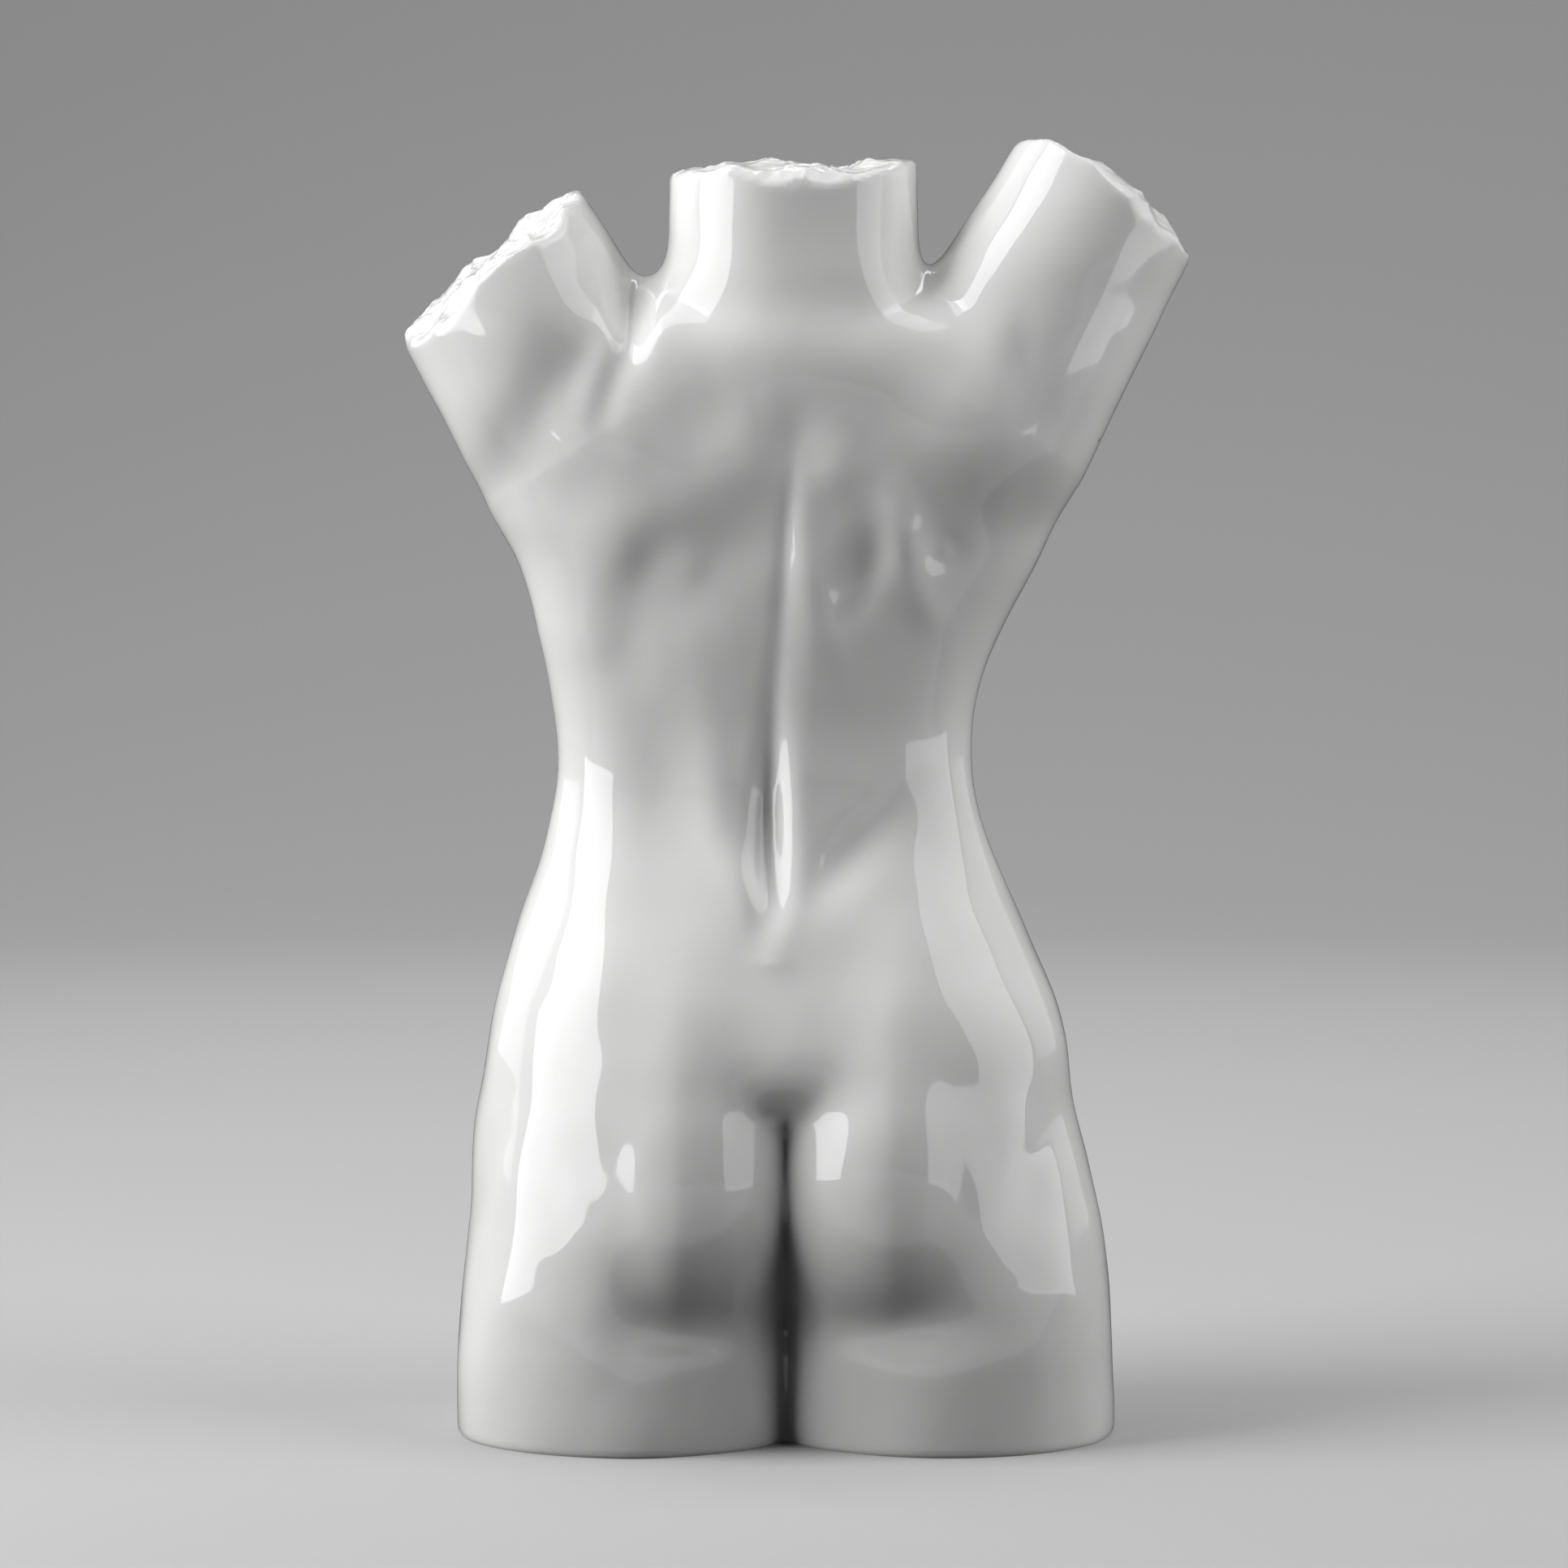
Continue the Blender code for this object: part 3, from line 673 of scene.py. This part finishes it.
class Graph:
    """A material's nodes, joined as they are made."""

    def __init__(self, name):
        self.material = bpy.data.materials.new(name)
        self.material.use_nodes = True
        self.nodes = self.material.node_tree.nodes
        self.links = self.material.node_tree.links
        self.shader = self.nodes["Principled BSDF"]

    def node(self, kind, settings=(), **inputs):
        made = self.nodes.new(kind)
        for name, value in dict(settings).items():
            setattr(made, name, value)
        for name, value in inputs.items():
            self.plug(made, name.replace("_", " "), value)
        return made

    def plug(self, node, name, value):
        if isinstance(value, bpy.types.NodeSocket):
            self.links.new(value, node.inputs[name])
        else:
            node.inputs[name].default_value = value

    def noise(self, place, length, detail):
        """Soft clouds whose features are about this many millimetres across, as values about 0.5."""
        scale = 1 / MM / length
        return self.node("ShaderNodeTexNoise", Vector=place, Scale=scale, Detail=detail).outputs["Fac"]

    def ramp(self, value, low, high, start=0.0, end=1.0):
        """The value carried evenly from the range low to high onto the range start to end."""
        made = self.node("ShaderNodeMapRange", {"clamp": True}, Value=value)
        for name, number in (("From Min", low), ("From Max", high), ("To Min", start), ("To Max", end)):
            made.inputs[name].default_value = number
        return made.outputs["Result"]

    def blend(self, share, first, second):
        """One colour over another by a share."""
        made = self.node("ShaderNodeMix", {"data_type": "RGBA"})
        for socket, value in ((made.inputs[0], share), (made.inputs[6], first), (made.inputs[7], second)):
            if isinstance(value, bpy.types.NodeSocket):
                self.links.new(value, socket)
            else:
                socket.default_value = value if len(value) == 4 else (*value, 1)
        return made.outputs[2]

    def math(self, kind, first, second):
        made = self.nodes.new("ShaderNodeMath")
        made.operation = kind
        for socket, value in zip(made.inputs, (first, second)):
            if isinstance(value, bpy.types.NodeSocket):
                self.links.new(value, socket)
            else:
                socket.default_value = value
        return made.outputs["Value"]


def glazed_porcelain():
    """White body under a clear glossy glaze, duller on the breaks and bare on the ring it stands on."""
    graph = Graph("glazed_porcelain")
    place = graph.node("ShaderNodeTexCoord").outputs["Object"]
    height = graph.node("ShaderNodeSeparateXYZ", Vector=place).outputs["Z"]
    broken = graph.node("ShaderNodeAttribute", {"attribute_name": "broken"}).outputs["Fac"]
    bare = graph.ramp(height, *[h * MM for h in BARE_HEIGHTS], 1.0, 0.0)

    clouds = graph.ramp(graph.noise(place, *COLOUR_CLOUDS), *CLOUD_SPREAD)
    colour = graph.blend(clouds, *GLAZE_COLOURS)
    cells = graph.node("ShaderNodeTexVoronoi", Vector=place, Scale=SPECKS_A_METRE).outputs["Distance"]
    spots = graph.ramp(cells, *SPECK_EDGE, 1.0, 0.0)
    dense = graph.ramp(graph.noise(place, *SPECK_CLOUDS), *SPECK_DENSITY)
    colour = graph.blend(graph.math("MULTIPLY", spots, dense), colour, SPECK_COLOUR)
    grains = graph.ramp(graph.noise(place, *CLAY_GRAINS), *GRAIN_SPREAD, *CLAY_BRIGHTNESS)
    clay = graph.node("ShaderNodeVectorMath", {"operation": "SCALE"}, Scale=grains)
    clay.inputs[0].default_value = BARE_COLOUR
    colour = graph.blend(bare, colour, clay.outputs["Vector"])
    graph.plug(graph.shader, "Base Color", colour)

    gloss = graph.ramp(graph.noise(place, *GLOSS_CLOUDS), *GRAIN_SPREAD, *GLAZE_ROUGHNESS)
    spots = graph.ramp(graph.noise(place, *WORN_SPOTS), *GRAIN_SPREAD, 0.0, BREAK_ROUGHNESS)
    glazed = graph.math("ADD", gloss, graph.math("MULTIPLY", broken, spots))
    rough = graph.math("MAXIMUM", glazed, graph.math("MULTIPLY", bare, BARE_ROUGHNESS))
    graph.plug(graph.shader, "Roughness", rough)

    dimples = graph.math("MULTIPLY", graph.noise(place, *GLAZE_DIMPLES), DIMPLE_SHARE)
    chips = graph.math("MULTIPLY", broken, graph.noise(place, *CHIP_GRAINS))
    chips = graph.math("MULTIPLY", chips, CHIP_SHARE)
    sand = graph.math("MULTIPLY", bare, graph.noise(place, *SAND_GRAINS))
    relief = graph.math("ADD", dimples, graph.math("ADD", chips, sand))
    raised = graph.node("ShaderNodeBump", Strength=RELIEF_STRENGTH, Distance=RELIEF_HEIGHT, Height=relief)
    graph.plug(graph.shader, "Normal", raised.outputs["Normal"])

    graph.shader.inputs["IOR"].default_value = GLAZE_IOR
    graph.shader.inputs["Subsurface Weight"].default_value = THROUGH_SHARE
    graph.shader.inputs["Subsurface Radius"].default_value = (1.0, 1.0, 1.0)
    graph.shader.inputs["Subsurface Scale"].default_value = THROUGH_REACH
    return graph.material


# The studio, in metres. Each light is a flat panel: its middle, where it looks, its width and height, and
# how bright its face is. The dim surroundings have one grey all round.
SURROUNDINGS = 0.015
LIGHT_PANELS = {
    "left_softbox": ((0.67, 0.241, 0.67), (0, 0.241, 0.67), 0.53, 1.33, 4.7),
    "right_softbox": ((-0.67, 0.214, 0.67), (0, 0.214, 0.67), 0.62, 1.33, 2.1),
    "left_rear": ((0.86, -0.42, 0.6), (0, 0, 0.3), 0.60, 1.1, 1.2),
    "right_rear": ((-0.86, -0.46, 0.6), (0, 0, 0.3), 0.60, 1.1, 0.6),
    "left_high": ((0.45, 0.15, 1.05), (0, 0, 0.1), 0.5, 0.5, 2.8),
    "right_high": ((-0.45, 0.15, 1.05), (0, 0, 0.1), 0.5, 0.5, 1.8),
    "table_sheen": ((0, 1.3, 0.003), (0, 1.3, 1), 3.0, 2.4, 0.6),
    "backdrop": ((0, -0.5, 1.0), (0, -1.3, 0.2), 1.2, 0.4, 5.0),
}
SEEN_IN_GLOSS_ONLY = ("table_sheen",)


def light_panel(name, place, aim, wide, tall, brightness):
    light = bpy.data.lights.new(name, "AREA")
    light.shape = "RECTANGLE"
    light.size = wide
    light.size_y = tall
    light.energy = brightness * np.pi * wide * tall
    holder = bpy.data.objects.new(name, light)
    bpy.context.scene.collection.objects.link(holder)
    holder.location = place
    holder.rotation_euler = (Vector(aim) - Vector(place)).to_track_quat("-Z", "Y").to_euler()
    holder.visible_camera = False
    holder.visible_diffuse = name not in SEEN_IN_GLOSS_ONLY


def light_studio():
    for name, panel in LIGHT_PANELS.items():
        light_panel(name, *panel)
    world = bpy.data.worlds.new("studio")
    world.use_nodes = True
    world.node_tree.nodes["Background"].inputs["Color"].default_value = (*[SURROUNDINGS] * 3, 1)
    bpy.context.scene.world = world


# The floor, in metres: the radius of its flat part, that of the curve outside it, and the wall's height.
FLOOR_FLAT = 0.95
FLOOR_CURVE = 0.9
FLOOR_WALL = 2.6
CURVE_STEPS = 12
FLOOR_SIDES = 96
FLOOR_GREY = 0.5
FLOOR_ROUGHNESS = 0.9


def pale_floor():
    """A round floor that curves up into a wall all round."""
    bm = bmesh.new()
    outline = [(0.0, 0.0), (FLOOR_FLAT, 0.0)]
    for step in range(1, CURVE_STEPS + 1):
        turn = np.pi / 2 * step / CURVE_STEPS
        outline.append((FLOOR_FLAT + FLOOR_CURVE * np.sin(turn), FLOOR_CURVE * (1 - np.cos(turn))))
    outline.append((FLOOR_FLAT + FLOOR_CURVE, FLOOR_WALL))
    verts = [bm.verts.new((r, 0, z)) for r, z in outline]
    edges = [bm.edges.new(pair) for pair in zip(verts, verts[1:])]
    bmesh.ops.spin(
        bm, geom=verts + edges, cent=(0, 0, 0), axis=(0, 0, 1),
        angle=2 * np.pi, steps=FLOOR_SIDES, use_merge=True,
    )
    bmesh.ops.remove_doubles(bm, verts=bm.verts, dist=SAME_PLACE)
    mesh = bpy.data.meshes.new("floor")
    bm.to_mesh(mesh)
    bm.free()
    mesh.shade_smooth()
    floor = bpy.data.objects.new("floor", mesh)
    bpy.context.scene.collection.objects.link(floor)
    material = bpy.data.materials.new("pale_paper")
    material.use_nodes = True
    shader = material.node_tree.nodes["Principled BSDF"]
    shader.inputs["Base Color"].default_value = (*[FLOOR_GREY] * 3, 1)
    shader.inputs["Roughness"].default_value = FLOOR_ROUGHNESS
    floor.data.materials.append(material)
    floor.visible_diffuse = False
    floor.visible_glossy = False


# The camera, in metres: where it stands behind the figure and where it looks. Its lens and the width of its
# picture are in millimetres.
CAMERA_PLACE = (0.0003, 1.0, 0.19)
CAMERA_AIM = (0.0003, 0.0, 0.1202)
CAMERA_LENS = 124.2
PICTURE_WIDTH = 36
NEAREST_SEEN = 0.01


def place_camera():
    camera = bpy.data.cameras.new("camera")
    camera.lens = CAMERA_LENS
    camera.sensor_width = PICTURE_WIDTH
    camera.clip_start = NEAREST_SEEN
    holder = bpy.data.objects.new("camera", camera)
    bpy.context.scene.collection.objects.link(holder)
    holder.location = CAMERA_PLACE
    holder.rotation_euler = (Vector(CAMERA_AIM) - Vector(CAMERA_PLACE)).to_track_quat("-Z", "Y").to_euler()
    bpy.context.scene.camera = holder


place_camera()
light_studio()
pale_floor()
torso = make_torso()
torso.data.materials.append(glazed_porcelain())
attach(torso, "root")
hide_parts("torso")
bpy.context.scene.view_settings.view_transform = "Standard"
